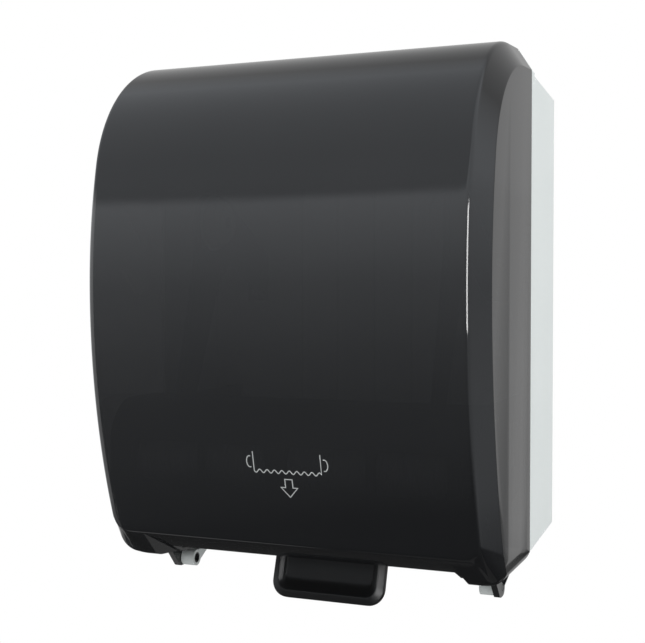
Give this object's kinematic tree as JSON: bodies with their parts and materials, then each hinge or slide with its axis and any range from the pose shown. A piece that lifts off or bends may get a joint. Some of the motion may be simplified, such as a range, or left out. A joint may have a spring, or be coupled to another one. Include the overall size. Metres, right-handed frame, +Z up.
{
  "type": "lever paper towel dispenser",
  "caption": "Wall-hung roll towel dispenser: smoked hinged cover over a light housing, geared push lever feeding paper between rollers.",
  "frame": {"origin": "centre of the wall screw pattern, on the back face that rests on the wall", "axes": "+X to the right seen from the front, +Y into the wall, +Z up"},
  "size_m": [0.329, 0.235, 0.4535],
  "materials": {
    "smoked_cover": "polished translucent smoked plastic",
    "housing_grey": "fine satin texture, light grey",
    "lever_black": "satin black plastic",
    "mechanism_grey": "satin dark grey plastic",
    "shroud_black": "satin black plastic",
    "gear_white": "self-lubricating natural white plastic",
    "grip_rubber": "ribbed grey grip rubber",
    "shaft_steel": "ground steel rod",
    "stainless": "stamped stainless strip",
    "screw_zinc": "zinc plated",
    "spring_steel": "spring wire",
    "lock_chrome": "bright plated"
  },
  "bodies": {
    "housing": {"back_housing": "housing_grey", "left_side_frame": "mechanism_grey", "right_side_frame": "mechanism_grey", "roller_shroud": "shroud_black", "feed_bushes": "gear_white", "lever_bushes": "gear_white", "pinch_bushes": "gear_white", "paper_chute": "mechanism_grey", "tear_bar": "stainless", "lever_return_spring": "spring_steel", "left_roll_arm": "mechanism_grey", "right_roll_arm": "mechanism_grey", "lock_strike": "stainless", "frame_screws": "screw_zinc", "roll_arm_screws": "screw_zinc", "shroud_screws": "screw_zinc", "tear_bar_screws": "screw_zinc"},
    "cover": {"cover_shell": "smoked_cover", "left_hinge_pin": "shaft_steel", "right_hinge_pin": "shaft_steel"},
    "lock": {"lock_cylinder": "lock_chrome", "lock_cam": "stainless"},
    "lever": {"push_lever": "lever_black", "lever_axle": "shaft_steel", "lever_sector_gear": "gear_white", "lever_axle_clip": "spring_steel"},
    "pinion": {"drive_pinion": "gear_white"},
    "feed_roller": {"feed_shaft": "shaft_steel", "feed_roller_core": "mechanism_grey", "feed_sleeve_outer_left": "grip_rubber", "feed_sleeve_inner_left": "grip_rubber", "feed_sleeve_inner_right": "grip_rubber", "feed_sleeve_outer_right": "grip_rubber", "loading_wheel": "lever_black", "feed_shaft_clip": "spring_steel"},
    "pinch_roller": {"pinch_shaft": "shaft_steel", "pinch_sleeve_outer_left": "grip_rubber", "pinch_sleeve_inner_left": "grip_rubber", "pinch_sleeve_inner_right": "grip_rubber", "pinch_sleeve_outer_right": "grip_rubber"},
    "left_hub": {"left_core_hub": "gear_white"},
    "right_hub": {"right_core_hub": "gear_white"}
  },
  "joints": [
    {"name": "cover_hinge", "type": "hinge", "parent": "housing", "child": "cover", "pos_m": [0, -0.105, -0.2184], "axis": [1, 0, 0], "range_deg": [0, 95]},
    {"name": "lock_turn", "type": "hinge", "parent": "cover", "child": "lock", "pos_m": [0, -0.116, 0.2], "axis": [0, 0, 1], "range_deg": [0, 90]},
    {"name": "lever_push", "type": "hinge", "parent": "housing", "child": "lever", "pos_m": [0, -0.086, -0.146], "axis": [1, 0, 0], "range_deg": [0, 20], "stiffness_Nm_per_rad": 0.5, "springref_deg": -20.05, "deforming": ["lever_return_spring"]},
    {"name": "pinion_turn", "type": "hinge", "parent": "housing", "child": "pinion", "pos_m": [0, -0.182, -0.118], "axis": [1, 0, 0], "range_deg": [-105, 0]},
    {"name": "feed_roller_turn", "type": "hinge", "parent": "housing", "child": "feed_roller", "pos_m": [0, -0.182, -0.118], "axis": [1, 0, 0], "continuous": true},
    {"name": "pinch_roller_turn", "type": "hinge", "parent": "housing", "child": "pinch_roller", "pos_m": [0, -0.15353, -0.10764], "axis": [1, 0, 0], "continuous": true},
    {"name": "left_hub_turn", "type": "hinge", "parent": "housing", "child": "left_hub", "pos_m": [0, -0.115, 0.075], "axis": [1, 0, 0], "continuous": true},
    {"name": "right_hub_turn", "type": "hinge", "parent": "housing", "child": "right_hub", "pos_m": [0, -0.115, 0.075], "axis": [1, 0, 0], "continuous": true}
  ],
  "couplings": [
    {"joint": "pinion_turn", "follows": "lever_push", "ratio": -5.25},
    {"joint": "pinch_roller_turn", "follows": "feed_roller_turn", "ratio": -2}
  ]
}
